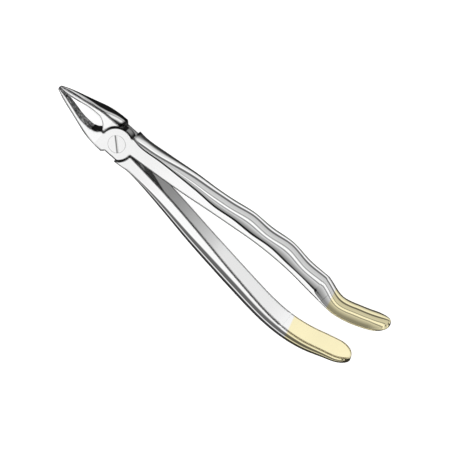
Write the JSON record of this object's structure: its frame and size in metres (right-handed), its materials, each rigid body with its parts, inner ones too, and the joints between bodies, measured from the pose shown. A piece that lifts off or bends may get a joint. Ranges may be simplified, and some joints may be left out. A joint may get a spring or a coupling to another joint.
{
  "type": "dental extraction forceps",
  "caption": "Slender dental extraction forceps with a lap joint on a slotted screw, needle beaks with serrated grip faces, a waved finger handle and plated handle ends.",
  "frame": {"origin": "on the pivot axis, in the plane of the joint's back face", "axes": "+X along the closed instrument to the handle ends, +Y to the finger handle, +Z along the pivot out of the face that shows the screw's slotted head"},
  "size_m": [0.1792, 0.041, 0.0141],
  "materials": {
    "polished_steel": "mirror polish, satin flat on the joint",
    "screw_steel": "satin",
    "insert_carbide": "dark grey, cross grooved",
    "pale_gold": "polished pale gold plating"
  },
  "bodies": {
    "palm_side": {"palm_half": "polished_steel", "palm_beak_insert": "insert_carbide", "palm_handle_plating": "pale_gold", "pivot_screw": "screw_steel"},
    "finger_side": {"finger_half": "polished_steel", "finger_beak_insert": "insert_carbide", "finger_handle_plating": "pale_gold"}
  },
  "joints": [
    {"name": "pivot", "type": "hinge", "parent": "palm_side", "child": "finger_side", "pos_m": [0, 0, 0.0058], "axis": [0, 0, 1], "range_deg": [0, 40]}
  ]
}
